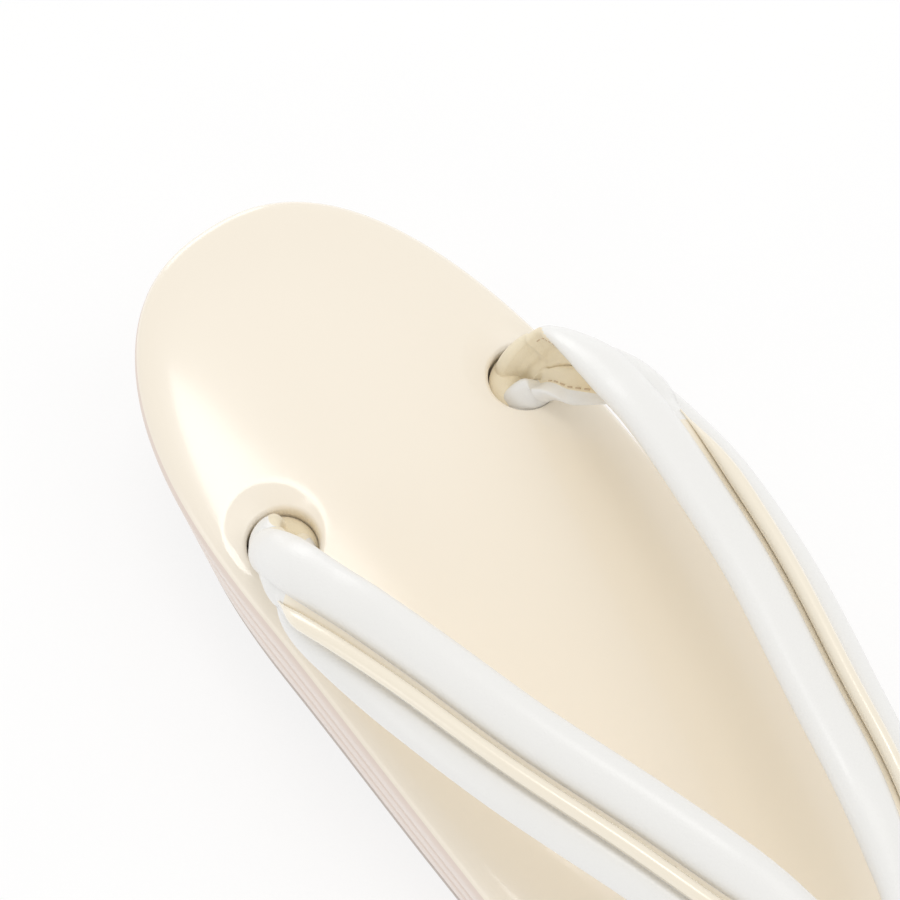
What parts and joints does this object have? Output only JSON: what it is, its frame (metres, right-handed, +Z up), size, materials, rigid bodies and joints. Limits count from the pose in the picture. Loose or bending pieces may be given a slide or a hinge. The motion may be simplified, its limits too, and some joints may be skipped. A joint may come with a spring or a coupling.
{
  "type": "zori sandal",
  "caption": "Zori sandal with a wrapped wedge sole, a glossy padded deck and a padded two-band thong strap edged with a raised piping.",
  "frame": {"origin": "on the floor, halfway along the sole, under its middle line, on the forefoot's flat underside", "axes": "+X from heel to toe, +Y to the left, +Z up"},
  "size_m": [0.239, 0.0821, 0.0666],
  "materials": {
    "deck": "glossy enamel-coated leather",
    "sole_side": "satin enamel-coated leather",
    "ground_rubber": "matt rubber",
    "strap": "satin pearl leather",
    "piping": "champagne metallic leather"
  },
  "bodies": {
    "root": {"footbed": "deck", "sole_layer_1": "sole_side", "sole_layer_2": "sole_side", "outsole": "ground_rubber", "heel_lift": "ground_rubber", "hanao": "strap", "toe_thong": "strap", "piping_left": "piping", "piping_right": "piping"}
  },
  "joints": []
}
